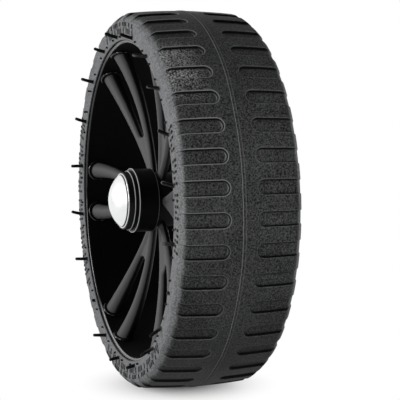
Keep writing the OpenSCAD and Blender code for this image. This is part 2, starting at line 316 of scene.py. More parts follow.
rubber = mouldedRubber()
# the spokes and hub are the same black plastic as the barrel: their grey is painted light, and the
# back colour is painted shade
litRimPlastic = mouldedPlastic("litGreySatinPolypropylene", "#434344", "#515153", 0.52, 2.2, 0.24, "#040405")
lipPlastic = mouldedPlastic("polishedPolypropylene", "#08080a", "#101011", 0.1, 2.2, 0.5)
barrelPlastic = mouldedPlastic("etchedPolypropylene", "#050506", "#09090a", 0.62, 1.8, 0.05)
capPlastic = mouldedPlastic("mattPolypropylene", "#060607", "#0c0c0d", 0.4, 1.6, 0.16)
chromeSheet = worked("chromedSteelSheet", "#f2f2f3", "#e0e1e2", 0.3, 9)
groundSteel = worked("groundBearingSteel", "#c9cbcd", "#a9acaf", 0.22, 0.9, 0.2)
polishedSteel = worked("polishedBearingSteel", "#dadcde", "#c6c8ca", 0.1, 6)
pressedSteel = worked("pressedSteelSheet", "#b9bbbc", "#949698", 0.3, 1.8)
zincSteel = worked("zincPlatedSteel", "#c3c6c9", "#9a9fa3", 0.28, 3.0)
springSteel = worked("blackenedSpringSteel", "#4c4e51", "#2c2d2f", 0.36, 2.0)
print("stage: materials made")

# Tyre: sizes in millimetres
tyreSizes = {
    "mouldLineHeight": 0.3,
    "crownDrop": 1.5,
    "edgeZ": 33.0,             # crisp edge between tread and shoulder
    "pocketCount": 41,
    "pocketPhase": -0.5,       # degrees, turn of the first pocket
    "pocketHalfWidth": 4.5,
    "pocketDepth": 1.75,
    "stripHalf": 1.9,          # band that carries the mould line
    "ridgeAt": 0.85,           # of the line's two ridges, from the middle plane
    "ridgeHalf": 0.22,
    "lineWander": 0.22,
    "glintAt": 46,              # degrees, middle of the outer tread's stretch with a painted highlight
    "glintHalf": 12,
}
# Shoulder from the edge of the tread to the sidewall, (z, radius), on a land and in a pocket
landShoulder = [(33.0, 123.5), (33.9, 122.98), (35.2, 122.1), (36.6, 120.95),
                (37.8, 119.8), (38.45, 118.9), (38.76, 117.8), (38.78, 116.4)]
pocketShoulder = [(34.1, 121.75), (34.7, 121.35), (35.7, 120.6), (36.8, 119.65),
                  (37.7, 118.7), (38.3, 117.9), (38.65, 117.1), (38.78, 116.4)]
# Sidewall from the shoulder to the bead, which covers the outer half of the rim's lip
sidewall = [(38.74, 114.9), (38.5, 114.5), (38.46, 113.0), (38.2, 109.5), (38.08, 107.2),
            (37.98, 106.2), (37.75, 105.72), (37.3, 105.5), (36.98, 105.7), (36.88, 106.4),
            (36.6, 107.06)]
# Section across the edge of a pocket: (distance outwards from its wall, share of its depth)
pocketSection = [(0.80, 0.0), (0.42, 0.0), (0.14, 0.05), (0.0, 0.22), (-0.20, 0.80),
                 (-0.32, 0.95), (-0.60, 1.0), (-1.30, 1.0), (-2.60, 1.0)]
# How dark with painted shade and how light with painted highlight the skin is at these distances
shadeAt = [(0.14, 0.0), (0.0, 0.9), (-0.20, 1.0), (-0.32, 1.0), (-0.60, 0.6), (-1.30, 0.15),
          (-2.60, 0.0)]
rimLightAt = [(0.80, 0.0), (0.42, 0.55), (0.14, 0.9), (0.0, 0.0)]
# Rows of points across the tread, from the centre of a pocket's round end to its edge
treadRows = [13.2, 17.5, 22.0, 26.5, 30.5, 32.4]
roundEnd = treadRows[0]
sectionFrom = pocketSection[0][0]

treadRadius = tyreHigh.x / mm - tyreSizes["mouldLineHeight"]
pitch = 2 * math.pi * treadRadius / tyreSizes["pocketCount"]


def landRadius(z):
    return treadRadius - tyreSizes["crownDrop"] * (z / tyreSizes["edgeZ"]) ** 2


def treadCell(shape, turn, side):
    # one pocket with the land round it, on one side of the tread
    points, faces = shape
    first = len(points)
    half, width = pitch / 2, tyreSizes["pocketHalfWidth"]
    reach, strip = width + sectionFrom, tyreSizes["stripHalf"]

    def place(u, z, radius):
        points.append(around(radius, turn + u / treadRadius, side * z))

    def straight(sign, rowZ, rowRadius, floorZ, floorRadius):
        offsets = [(half, 0), ((half + width + sectionFrom) / 2, 0)]
        offsets += [(width + out, share) for out, share in pocketSection] + [(0, 1)]
        for u, share in offsets:
            place(sign * u, rowZ + (floorZ - rowZ) * share,
                  rowRadius + (floorRadius - rowRadius) * share)

    def rowsAlong(sign):
        for z in treadRows:
            radius = landRadius(z)
            yield sign, z, radius, z, radius - tyreSizes["pocketDepth"]
        for (z, radius), (floorZ, floorRadius) in zip(landShoulder, pocketShoulder):
            yield sign, z, radius, floorZ, floorRadius

    for row in reversed(list(rowsAlong(1))):
        straight(*row)
    corner = math.atan2(roundEnd - strip, half)
    angles = [corner * k / 4 for k in (1, 2, 3)]
    angles += [corner + (math.pi - 2 * corner) * k / 6 for k in range(7)]
    angles += [math.pi - corner * k / 4 for k in (3, 2, 1)]
    for angle in angles:
        if corner < angle < math.pi - corner - 1e-6:
            edgeU, edgeZ = (roundEnd - strip) / math.tan(angle), strip
        else:
            edgeU = half if angle < math.pi / 2 else -half
            edgeZ = max(strip, roundEnd - abs(half * math.tan(angle)))
        nearU, nearZ = reach * math.cos(angle), roundEnd - reach * math.sin(angle)
        place(edgeU, edgeZ, landRadius(edgeZ))
        midZ = (edgeZ + nearZ) / 2
        place((edgeU + nearU) / 2, midZ, landRadius(midZ))
        for out, share in pocketSection + [(-width, 1)]:
            u = (width + out) * math.cos(angle)
            z = roundEnd - (width + out) * math.sin(angle)
            place(u, z, landRadius(z) - share * tyreSizes["pocketDepth"])
    for row in rowsAlong(-1):
        straight(*row)
    rings = len(pocketSection) + 3
    joinRows(faces, first, (len(points) - first) // rings, rings)


def mouldLine(shape, turn):
    # the band round the middle of the tread, with the raised line that the mould leaves
    points, faces = shape
    first = len(points)
    half, strip = pitch / 2, tyreSizes["stripHalf"]
    height = roundEnd - strip
    corner = math.atan2(height, half)
    across = [height / math.tan(corner + (math.pi - 2 * corner) * k / 6) for k in range(7)]
    middle, wide, tall = tyreSizes["ridgeAt"], tyreSizes["ridgeHalf"], tyreSizes["mouldLineHeight"]
    # (z, rise, share of the line's wander)
    ridge = [(middle + wide + 0.15, 0, 1), (middle + wide, tall * 0.8, 1), (middle, tall, 1),
             (middle - wide, 0.04, 1)]
    rows = [(strip, 0, 0)] + ridge + [(-z, rise, moved) for z, rise, moved in reversed(ridge)]
    rows.append((-strip, 0, 0))
    for u in across:
        angle = turn + u / treadRadius
        wander = tyreSizes["lineWander"] * (math.sin(5 * angle) + 0.6 * math.sin(13 * angle + 1))
        for z, rise, moved in rows:
            points.append(around(landRadius(z) + rise, angle, z + wander * moved))
    joinRows(faces, first, len(across), len(rows))


def sidewalls(shape, turn):
    # both sidewalls of one pitch and the seat between their beads
    points, faces = shape
    first = len(points)
    half, width = pitch / 2, tyreSizes["pocketHalfWidth"]
    across = [half, (half + width + sectionFrom) / 2]
    across += [width + out for out, share in pocketSection] + [0]
    across += [-u for u in reversed(across[:-1])]
    rows = [landShoulder[-1]] + sidewall
    rows = rows + [(-z, radius) for z, radius in reversed(rows)]
    for u in across:
        points.extend(around(radius, turn + u / treadRadius, z) for z, radius in rows)
    joinRows(faces, first, len(across), len(rows))


def between(table, value):
    # reads a table of (place, share), in falling order of place, and fills in between
    if value >= table[0][0]:
        return table[0][1]
    for (high, before), (low, after) in zip(table, table[1:]):
        if value >= low:
            return after + (before - after) * (value - low) / (high - low)
    return table[-1][1]


# Fine relief on the outer sidewall: sizes in millimetres
reliefSizes = {
    "tickCount": 210,
    # inner and outer radius of each tick in turn, and None for none
    "ticks": ((109.9, 117.4), (109.9, 113.4), (109.9, 117.4), (113.6, 117.4),
              (109.9, 117.4), None),
    "tickGroups": ((78, 110), (154, 219), (250, 313), (348, 388)),  # degrees
    "tickHalfWidth": 0.85,
    "tickHeight": 0.32,
    "tickFoot": 38.05,
    "tickBevel": 0.16,
    "stubRadius": 0.7,
    "stubAt": 108.0,
    "stubApart": 4.5,          # degrees, from a whisker to the stubs on its two sides
    "stubHeight": 1.5,
    "longStubs": ((7, 1), (8, -1)),  # of double length, as (whisker, side)
}
# Vent whiskers: the hair of rubber that each vent of the mould leaves
whiskerSizes = {
    "count": 20,
    "at": 108.6,
    "radius": 1.12,
    "rootZ": 38.0,
    "flare": 1.5,              # radius at the root
    "bend": 1.3,
}
# Thickness along a whisker and a stub: (share of the length, share of the radius)
whiskerForm = [(0.06, 1.2), (0.12, 1), (0.35, 1), (0.65, 0.97), (0.9, 0.94), (0.97, 0.8),
               (1, 0.45)]
stubForm = [(0, 1), (0.5, 1), (0.85, 0.9), (1, 0.5)]
# For each whisker, how far its tip stands above its root and how far it reaches out
whiskerTips = [(2.3, 8.0), (2.8, 7.0), (1.2, 8.0), (0.6, 9.2), (2.6, 8.2),
               (2.5, 8.6), (2.2, 7.6), (2.2, 9.0), (2.4, 8.2), (0.0, 8.9),
               (2.0, 9.0), (0.3, 9.2), (0.4, 2.4), (0.5, 9.4), (-1.3, 7.0),
               (-1.4, 6.0), (-4.2, 8.2), (-4.8, 7.6), (0.5, 1.6), (0.8, 8.2)]
# The vents aren't quite evenly spread: degrees from an even spacing
whiskerTurns = [0.9, -0.6, -1.0, -2.0, -2.1, -1.5, -1.9, -0.4, 0.5, 0.7,
                1.4, 1.2, 1.5, 2.1, 2.3, 4.0, 10.0, 4.2, 1.5, 0.5]


def sweep(shape, centres, radii, sides, across):
    # a round bar through the centres; across is a direction to the side of it
    points, faces = shape
    first = len(points)
    for i, centre in enumerate(centres):
        way = (centres[min(i + 1, len(centres) - 1)] - centres[max(i - 1, 0)]).normalized()
        side = (across - way * across.dot(way)).normalized()
        up = way.cross(side)
        for k in range(sides):
            angle = k * 2 * math.pi / sides
            point = centre + radii[i] * (side * math.cos(angle) + up * math.sin(angle))
            points.append(tuple(point))
    for i in range(len(centres) - 1):
        for k in range(sides):
            a, b = first + i * sides + k, first + i * sides + (k + 1) % sides
            faces.append((a, b, b + sides, a + sides))
    faces.append(tuple(first + k for k in range(sides)))
    faces.append(tuple(first + (len(centres) - 1) * sides + k for k in reversed(range(sides))))


def whiskerAngle(number):
    even = (number + 0.5) * 2 * math.pi / whiskerSizes["count"]
    return even + math.radians(whiskerTurns[number])


def whisker(shape, number):
    angle = whiskerAngle(number)
    root = Vector(around(whiskerSizes["at"], angle, whiskerSizes["rootZ"]))
    lift, reach = whiskerTips[number]
    centres, radii = [root], [whiskerSizes["flare"]]
    for share, thick in whiskerForm:
        centres.append(root + Vector((0, lift * share ** whiskerSizes["bend"], reach * share)))
        radii.append(whiskerSizes["radius"] * thick)
    sweep(shape, centres, radii, 12, Vector((1, 0, 0)))


def stub(shape, number, side):
    # a vent that the rubber hardly entered, beside a whisker
    angle = whiskerAngle(number) + side * math.radians(reliefSizes["stubApart"])
    root = Vector(around(reliefSizes["stubAt"], angle, whiskerSizes["rootZ"]))
    height = reliefSizes["stubHeight"] * (2 if (number, side) in reliefSizes["longStubs"] else 1)
    sweep(shape, [root + Vector((0, 0, share * height)) for share, thick in stubForm],
          [reliefSizes["stubRadius"] * thick for share, thick in stubForm], 10, Vector((1, 0, 0)))


# Height of the sidewall's skin where the ticks stand, (radius, z), and the radii of its bends
skinAt = [(117.8, 38.77), (116.4, 38.78), (114.9, 38.74), (114.5, 38.5), (113.0, 38.46),
          (109.5, 38.2)]
skinBends = (113.0, 114.4, 115.0, 116.4)


def tick(shape, angle, start, end):
    # a short raised rib on the sidewall, from one radius to the other, bent as the skin is
    points, faces = shape
    first = len(points)
    wide, tall = reliefSizes["tickHalfWidth"], reliefSizes["tickHeight"]
    foot, bevel = reliefSizes["tickFoot"], reliefSizes["tickBevel"]
    stations = [start] + [r for r in skinBends if start + 0.3 < r < end - 0.3] + [end]
    for radius in stations:
        top = between(skinAt, radius) + tall
        for z, shrink in ((foot, 0), (top - 0.1, 0.02), (top, bevel)):
            for sign in (-1, 1):
                points.append(around(radius, angle + sign * (wide - shrink) / radius, z))
    for i in range(len(stations) - 1):
        a = first + 6 * i
        for low, high in ((0, 2), (2, 4), (4, 5), (5, 3), (3, 1), (1, 0)):
            faces.append((a + low, a + high, a + 6 + high, a + 6 + low))
    for a in (first, first + 6 * (len(stations) - 1)):
        faces.append((a, a + 1, a + 3, a + 5, a + 4, a + 2))


# Marks on the tyre's skin: places in millimetres, and shares of dirt, painted shade and painted
# highlight
skinSizes = {
    "fadeFrom": 35.0,          # the tread's marks fade out over the shoulder
    "fadeLength": 1.7,
    "farRimLight": 0.3,            # share of the painted highlight that the machine's side has
    "ridgeRise": 0.1,          # what stands higher in the strip is the mould line
    # painted highlight along the mould line
    "ridgeLight": 0.6,
    "farRidgeLight": 0.3,
    "wallTop": 38.95,          # the plain sidewall lies below this
    "wallTo": 114.3,           # radius of its outer bend
    "wallSkin": (38.1, 38.52),
    "footFrom": 109,           # outside this radius what isn't that skin is the foot of a tick
    # painted shade on the walls of the ticks
    "footShade": 0.9,
    "beadTo": 105.74,          # radius up to which the bead isn't grey
    "tickTop": 38.84,          # ticks reach above this, between these two radii
    "tickFrom": 109.7,
    "tickTo": 118.5,
    "whiskerFoot": 38.3,       # whiskers and stubs stand higher than this beside the ticks
    "whiskerTop": 39.5,        # and they alone reach above this
    "tipFrom": 44.6,
    "cleanerFrom": 40,         # x from which whiskers are less dirty
    "whiskerDirt": (1.0, 0.85),
    "tipDirt": (0.9, 0.5),
    # whisker tips drawn lighter: painted highlight
    "tipLight": (0.1, 0.5),
    "seatHalf": 36.7,          # the seat and the beads' inner sides
    "seatTo": 114,
    "seatDark": 0.6,
    "glintFrom": 11,
    "glintLength": 17,
    "glintMost": 0.75,
    "glintOnLand": 0.6,
    "glintInside": 118,         # radius of the tread's lowest painted highlight
    "endLessShade": 0.85,          # less painted shade on the round end of a pocket
    "endLitBand": (-0.8, -0.4),   # distance from its wall where the round end has a painted highlight
    "treadFrom": 119,
    "middleLight": 0.7,         # the painted highlight is weaker on the lower half than on the upper
    "lightSwing": 0.3,
    "lightTurn": 5,
}


def markSkin(mesh, phase):
    # marks each point of the tyre for its material: dirt and painted shade, painted highlights,
    # and the sidewall's grey with painted sheen
    marks = {"groove": [], "edge": [], "flank": [], "treadGlint": []}
    count, width = tyreSizes["pocketCount"], tyreSizes["pocketHalfWidth"]
    skin = skinSizes
    for vertex in mesh.vertices:
        x, y, z = vertex.co.x / mm, vertex.co.z / mm, -vertex.co.y / mm
        radius, side = math.hypot(x, y), abs(z)
        turn = (math.atan2(y, x) - phase) * count / (2 * math.pi)
        u = (turn - round(turn)) * pitch
        fromCentre = math.hypot(u, side - roundEnd)
        away = (abs(u) if side > roundEnd else fromCentre) - width
        # painted shade in the pocket's walls and a painted highlight on its rim
        groove, edge = between(shadeAt, away), between(rimLightAt, away)
        if z < 0:
            edge *= skin["farRimLight"]
        fade = clamp((side - skin["fadeFrom"]) / skin["fadeLength"])
        groove, edge = groove * (1 - fade), edge * (1 - fade)
        # painted highlight on the mould line
        if side < tyreSizes["stripHalf"] and radius > landRadius(side) + skin["ridgeRise"]:
            edge = skin["ridgeLight"] if z > 0 else skin["farRidgeLight"]
        # the sidewall's grey, with its painted sheen, starts over the shoulder
        flank = fade if side < skin["wallTop"] else 0.0
        if radius < skin["tickTo"] and z > skin["tickTop"]:
            flank = 1.0
        if radius < skin["wallTo"] and side < skin["wallTop"]:
            groove = edge = 0.0
            if radius < skin["beadTo"]:
                flank = 0.0
            # painted shade on the walls of the ticks
            if radius > skin["footFrom"] and not skin["wallSkin"][0] < side < skin["wallSkin"][1]:
                groove = skin["footShade"]
        if z > skin["tickTop"] and radius > skin["tickFrom"]:
            groove = 1.0
        elif z > skin["whiskerTop"] or z > skin["whiskerFoot"] and radius < skin["tickFrom"]:
            # dirt blackens whiskers and stubs up to the tips
            cleaner = 0 if x < skin["cleanerFrom"] else 1
            groove, edge = skin["whiskerDirt"][cleaner], 0.0
            # the tips are drawn lighter: painted highlight
            if z > skin["tipFrom"]:
                groove, edge = skin["tipDirt"][cleaner], skin["tipLight"][cleaner]
        # the seat and the beads' inner sides are drawn darker
        if side < skin["seatHalf"] and radius < skin["seatTo"]:
            groove, flank = skin["seatDark"], 0.0
        # painted highlight on a stretch of the upper outer tread, more in the pockets than on the
        # lands
        off = abs(math.degrees(math.atan2(y, x)) - tyreSizes["glintAt"]) / tyreSizes["glintHalf"]
        outerShare = clamp((z - skin["glintFrom"]) / skin["glintLength"], 0.0, skin["glintMost"])
        treadGlint = clamp(2 - 2 * off) * outerShare * (1 - fade)
        if away > 0:
            treadGlint *= skin["glintOnLand"]
        # less painted shade on a pocket's round end, and a painted highlight band there on the
        # outer side
        if side < roundEnd:
            inwards = (roundEnd - side) / max(1e-6, fromCentre)
            groove *= 1 - skin["endLessShade"] * inwards ** 2
            if z > 0 and skin["endLitBand"][0] < away < skin["endLitBand"][1]:
                edge = inwards ** 2
        # painted highlight, lighter towards the top of the tread
        if radius > skin["treadFrom"] and side > tyreSizes["stripHalf"]:
            height = clamp(skin["lightTurn"] * y / radius, -1.0)
            edge *= skin["middleLight"] + skin["lightSwing"] * height
        marks["groove"].append(groove)
        marks["edge"].append(edge)
        marks["flank"].append(flank)
        marks["treadGlint"].append(treadGlint if radius > skin["glintInside"] else 0.0)
    for name, values in marks.items():
        mark(mesh, name, values)


def makeTyre():
    shape = ([], [])
    phase = math.radians(tyreSizes["pocketPhase"])
    for number in range(tyreSizes["pocketCount"]):
        turn = phase + number * 2 * math.pi / tyreSizes["pocketCount"]
        for side in (-1, 1):
            treadCell(shape, turn, side)
        mouldLine(shape, turn)
        sidewalls(shape, turn)
    for number in range(whiskerSizes["count"]):
        whisker(shape, number)
        for side in (-1, 1):
            stub(shape, number, side)
    for number in range(reliefSizes["tickCount"]):
        angle = number * 360 / reliefSizes["tickCount"]
        if any(low <= angle <= high or low <= angle + 360 <= high
               for low, high in reliefSizes["tickGroups"]):
            ends = reliefSizes["ticks"][number % len(reliefSizes["ticks"])]
            if ends:
                tick(shape, math.radians(angle), *ends)
    mesh = buildMesh("tyreMesh", shape, 50)
    markSkin(mesh, phase)
    addPiece("tyre_visual", mesh, [rubber], "wheel", "tyre")


makeTyre()
print("stage: tyre made")

# Rim: sizes in millimetres
seatRadius = rimHigh.x / mm
rimHalf = rimHigh.y / mm
rimSizes = {
    "gapToTyre": 0.05,
    "wall": 3.0,
    "draft": -0.6,             # how much narrower the barrel is inside than its lips
    "armZ": 27.6,              # middle of an arm where it meets the barrel
    "rootZ": 14.6,             # middle of the arms at the hub
    "sweepPower": 2.0,
    "forkTurn": 1.4,           # degrees from the X axis to the first fork
    "forkSpread": 16.6,        # degrees between the two arms of a fork
    "armRadius": 5.9,
    "armRootRadius": 2.7,
    "swellPower": 2.2,
    "rootHalf": 0.3,
    "hubRadius": 18.0,
    "hubHalf": 31.0,
    "boreRadius": 11.0,
    "seatBore": 13.0,
    "bearingFrom": 19.0,
    "bearingTo": 27.0,
    "clipGroove": 0.6,
    "clipWidth": 1.2,
    "collarRadius": 7.7,
    "collarHeight": 1.6,
    "collarEdge": 0.9,         # width of a collar's rounded edge, which is polished
    "collarReach": 8.5,        # and how far it goes from the middle of the foot
    "collarBack": 0.3,         # share of the radius from which the back of a collar is dull
    "webThickness": 2.6,
    "webTo": 55.0,
    "webDip": 7.0,             # how far the web's end curves back in the middle
    "forks": 6,
    "lipFrom": 34.8,           # the lips, which are polished, lie outwards of this
    "smoothTo": 45,            # from the middle; up to here the hub is as smooth as the spokes and painted the same lit grey
}
# Where the inner edge of the outer lip is drawn light as a painted highlight: at the top and at
# the bottom
lipHighlight = {
    "depth": 1.3,
    "width": 0.35,
    "topFrom": 0.88,           # height as a share of the radius
    "bottomFrom": 0.74,
    "soft": 0.1,
    "most": 0.9,
}
# The skin in which arms and web are blended: counts, and the voxel in millimetres
blendSizes = {"rings": 40, "sides": 32, "columns": 26, "lanes": 8, "voxel": 0.8, "smoothing": 5}
waist = seatRadius - rimSizes["wall"] - rimSizes["draft"]
armFrom = rimSizes["hubRadius"] - 2.5
footRadius = waist + 1.0
armTo = footRadius * math.cos(math.radians(rimSizes["forkSpread"] / 2))


def spokeZ(r):
    share = max(0, r - rimSizes["hubRadius"]) / (waist - rimSizes["hubRadius"])
    rise = rimSizes["armZ"] - rimSizes["rootZ"]
    return rimSizes["rootZ"] + rise * share ** rimSizes["sweepPower"]


def armShare(r):
    return max(0, r - rimSizes["hubRadius"]) / (armTo - rimSizes["hubRadius"])


def armOffset(r):
    # the two arms of a fork part fast, then slowly
    wide = footRadius * math.sin(math.radians(rimSizes["forkSpread"] / 2))
    rootHalf = rimSizes["rootHalf"]
    return rootHalf + (wide - rootHalf) * math.sin(math.pi / 2 * armShare(r))


def armRadius(r):
    root = rimSizes["armRootRadius"]
    return root + (rimSizes["armRadius"] - root) * armShare(r) ** rimSizes["swellPower"]


def forkMesh():
    # one fork along x, blended into one skin: two arms and the web between them
    shape = ([], [])
    rings = blendSizes["rings"]
    for side in (-1, 1):
        places = [armFrom + (armTo + 0.8 - armFrom) * k / rings for k in range(rings + 1)]
        centres = [Vector((r, side * armOffset(r), spokeZ(r))) for r in places]
        sweep(shape, centres, [armRadius(r) for r in places], blendSizes["sides"],
              Vector((0, 1, 0)))
    points, faces = shape
    first = len(points)
    columns, lanes = blendSizes["columns"], blendSizes["lanes"]
    for i in range(columns + 1):
        for j in range(lanes + 1):
            lane = 2 * j / lanes - 1
            end = rimSizes["webTo"] - rimSizes["webDip"] * (1 - lane * lane)
            r = armFrom + (end - armFrom) * i / columns
            for face in (-1, 1):
                z = spokeZ(r) + face * rimSizes["webThickness"] / 2
                points.append((r, lane * armOffset(r), z))
    row = (lanes + 1) * 2
    for i in range(columns):
        for j in range(lanes):
            a = first + i * row + j * 2
            faces.append((a, a + 2, a + row + 2, a + row))
            faces.append((a + 1, a + row + 1, a + row + 3, a + 3))
        for j in (0, lanes):
            a = first + i * row + j * 2
            faces.append((a, a + row, a + row + 1, a + 1))
    for i in (0, columns):
        for j in range(lanes):
            a = first + i * row + j * 2
            faces.append((a, a + 1, a + 3, a + 2))
    mesh = bpy.data.meshes.new("forkDraft")
    mesh.from_pydata([onAxle(*p) for p in points], [], faces)
    work = bmesh.new()
    work.from_mesh(mesh)
    bmesh.ops.recalc_face_normals(work, faces=work.faces)
    work.to_mesh(mesh)
    work.free()
    holder = addObject("forkDraft", mesh)
    blend = holder.modifiers.new("blend", "REMESH")
    blend.mode = "VOXEL"
    blend.voxel_size = blendSizes["voxel"] * mm
    smooth = holder.modifiers.new("smooth", "SMOOTH")
    smooth.factor = 0.5
    smooth.iterations = blendSizes["smoothing"]
    seen = holder.evaluated_get(bpy.context.evaluated_depsgraph_get())
    result = bpy.data.meshes.new_from_object(seen)
    bpy.data.objects.remove(holder)
    return result


def collars(shape):
    # the round flanges at the feet of the arms
    low, radius = waist - rimSizes["collarHeight"], rimSizes["collarRadius"]
    # (distance from the axle, how much wider than the collar), round the edge and down
    steps = [(low, -1.0), (low + 0.03, -0.7), (low + 0.12, -0.42), (low + 0.3, -0.2),
             (low + 0.6, -0.08), (low + 1.0, 0), (waist + 1.2, 0)]
    for fork in range(rimSizes["forks"]):
        for side in (-0.5, 0.5):
            turn = rimSizes["forkTurn"] + side * rimSizes["forkSpread"]
            turn += fork * 360 / rimSizes["forks"]
            along = Vector(around(1, math.radians(turn), 0))
            lift = Vector((0, 0, rimSizes["armZ"]))
            sweep(shape, [along * r + lift for r, out in steps],
                  [radius + out for r, out in steps], 48, Vector((0, 0, 1)))


def onCollarEdge(centre):
    # whether a point is on the rounded edge of a collar, on its outward half
    turn = math.degrees(math.atan2(centre.z, centre.x)) - rimSizes["forkTurn"]
    spacing = 360 / rimSizes["forks"]
    fromFork = abs((turn + spacing / 2) % spacing - spacing / 2)
    turn = math.radians(fromFork - rimSizes["forkSpread"] / 2)
    radius, edge = centre.xz.length, rimSizes["collarEdge"]
    along, aside = radius * math.cos(turn), radius * math.sin(turn)
    lift = -centre.y - rimSizes["armZ"]
    outward = lift > -rimSizes["collarBack"] * rimSizes["collarRadius"]
    low = waist - rimSizes["collarHeight"]
    away = math.hypot(aside, lift)
    near = rimSizes["collarRadius"] - edge < away < rimSizes["collarReach"]
    return outward and low - 0.1 < along < low + edge and near


def makeRim():
    shape = ([], [])
    collars(shape)
    outside = seatRadius - rimSizes["gapToTyre"]
    inside = outside - rimSizes["wall"]
    lip = rimSizes["wall"] / 2
    # outlines: (radius, z, fillet)
    corners = [(outside, rimHalf, lip), (outside, -rimHalf, lip), (inside, -rimHalf, lip),
               (waist, rimSizes["armZ"], 8.0), (inside, rimHalf, lip)]
    revolve(shape, roundCorners(corners, 8), 240)
    bore, seat, end = rimSizes["boreRadius"], rimSizes["seatBore"], rimSizes["hubHalf"]
    start, stop = rimSizes["bearingFrom"], rimSizes["bearingTo"]
    clip, groove = stop + rimSizes["clipWidth"], seat + rimSizes["clipGroove"]
    half = [(rimSizes["hubRadius"] - 0.05, end, 0.6), (seat, end, 0.4), (seat, clip, 0.1),
            (groove, clip, 0.1), (groove, stop, 0.1), (seat, stop, 0.1), (seat, start, 0.1),
            (bore, start, 0.2)]
    hub = half + [(r, -z, fillet) for r, z, fillet in reversed(half)]
    revolve(shape, roundCorners(hub, 3), 96)
    fork = forkMesh()
    fork.polygons.foreach_set("material_index", [1] * len(fork.polygons))
    copies = []
    for number in range(rimSizes["forks"]):
        copy = fork.copy()
        turn = math.radians(rimSizes["forkTurn"]) + number * 2 * math.pi / rimSizes["forks"]
        copy.transform(Matrix.Rotation(-turn, 4, "Y"))
        copies.append(copy)
    mesh = buildMesh("rimMesh", shape, extras=copies)
    for polygon in mesh.polygons:
        # materials: 0 the barrel, 1 spokes and hub, 2 lips and the edges of the collars
        centre = polygon.center / mm
        if abs(centre.y) > rimSizes["lipFrom"]:
            polygon.material_index = 2
        elif polygon.material_index == 0 and len(polygon.vertices) == 4 and onCollarEdge(centre):
            polygon.material_index = 2
        elif centre.length < rimSizes["smoothTo"]:
            polygon.material_index = 1
    # painted highlight along the inner edge of the outer lip
    paintedHighlight = []
    for vertex in mesh.vertices:
        radius, z = polar(vertex.co)
        on = z > rimHalf - lipHighlight["depth"] and inside - 0.1 < radius < inside + lipHighlight["width"]
        steep = abs(vertex.co.z / mm) / radius
        start = lipHighlight["topFrom"] if vertex.co.z > 0 else lipHighlight["bottomFrom"]
        paintedHighlight.append(lipHighlight["most"] * clamp((steep - start) / lipHighlight["soft"]) if on else 0.0)
    mark(mesh, "paintedHighlight", paintedHighlight)
    addPiece("rim_visual", mesh, [barrelPlastic, litRimPlastic, lipPlastic],
             "wheel", "rim")


makeRim()
print("stage: rim made")


# Hub cap: radii of its steps, and where they end along the axle, in millimetres
capSizes = {
    "sleeve": 20.9,
    "step": 19.7,
    "nose": 18.85,
    "inner": 18.02,            # of the sleeve, which grips the hub
    "room": 16.0,              # of the space over the end of the axle
    "stopZ": 31.0,
    "ringZ": 31.8,
    "stepZ": 33.2,
    "noseZ": 35.8,
    "seatDepth": 2.0,          # of the dome's seat in the nose
    "wall": 1.5,
    "highlightReach": 0.3,
}
domeSizes = {
    "base": 39.4,              # the plane of its edge along the axle
    "sheet": 0.8,
    "curveEnd": 0.95,          # from the edge to the end of the curve
    "bead": 0.42,
    "beadRise": 0.15,
    "skirt": 1.95,
    "grimeTo": 0.8,            # from the edge to the seam, where grime sits
}


def makeCap():
    # sleeve, raised ring, step and nose, with the mould's rounded edges
    front, back = -capLow.y / mm, -capHigh.y / mm
    ring, seat = capHigh.x / mm, domeHigh.x / mm + 0.02
    sleeve, step, nose = capSizes["sleeve"], capSizes["step"], capSizes["nose"]
    inner, room, stopZ = capSizes["inner"], capSizes["room"], capSizes["stopZ"]
    ringZ, stepZ, noseZ = capSizes["ringZ"], capSizes["stepZ"], capSizes["noseZ"]
    seatZ = front - capSizes["seatDepth"]
    wallZ = seatZ - capSizes["wall"]
    # outline: (radius, z, fillet)
    corners = [(sleeve, back, 0.35), (sleeve, back + 0.5, 0), (sleeve, ringZ, 0.3),
               (ring, ringZ + 0.05, 0.3), (ring, stepZ - 0.5, 0), (ring, stepZ, 0.4),
               (ring - 0.5, stepZ, 0), (step, stepZ, 0.25), (step, noseZ - 0.5, 0),
               (step, noseZ, 0.45), (nose + 0.45, noseZ + 0.1, 0.2), (nose, front, 0.3),
               (seat, front, 0.2), (seat, seatZ, 0.1), (0.0, seatZ, 0), (0.0, wallZ, 0),
               (room, wallZ, 0.4), (room, stopZ, 0.1), (inner, stopZ, 0.1), (inner, back, 0.3)]
    shape = ([], [])
    revolve(shape, roundCorners(corners), 144)
    mesh = buildMesh("capMesh", shape)
    # edges drawn light as painted highlights: (radius, z, how much)
    litEdges = [(ring, stepZ, 1.0), (step, noseZ, 0.9), (sleeve, back, 0.35)]
    reach = capSizes["highlightReach"]
    paintedHighlight = []
    for vertex in mesh.vertices:
        radius, z = polar(vertex.co)
        near = [share for r, at, share in litEdges if math.hypot(radius - r, z - at) < reach]
        paintedHighlight.append(max(near, default=0.0))
    mark(mesh, "paintedHighlight", paintedHighlight)
    addPiece("hub_cap_visual", mesh, [capPlastic], "wheel", "hub_cap")


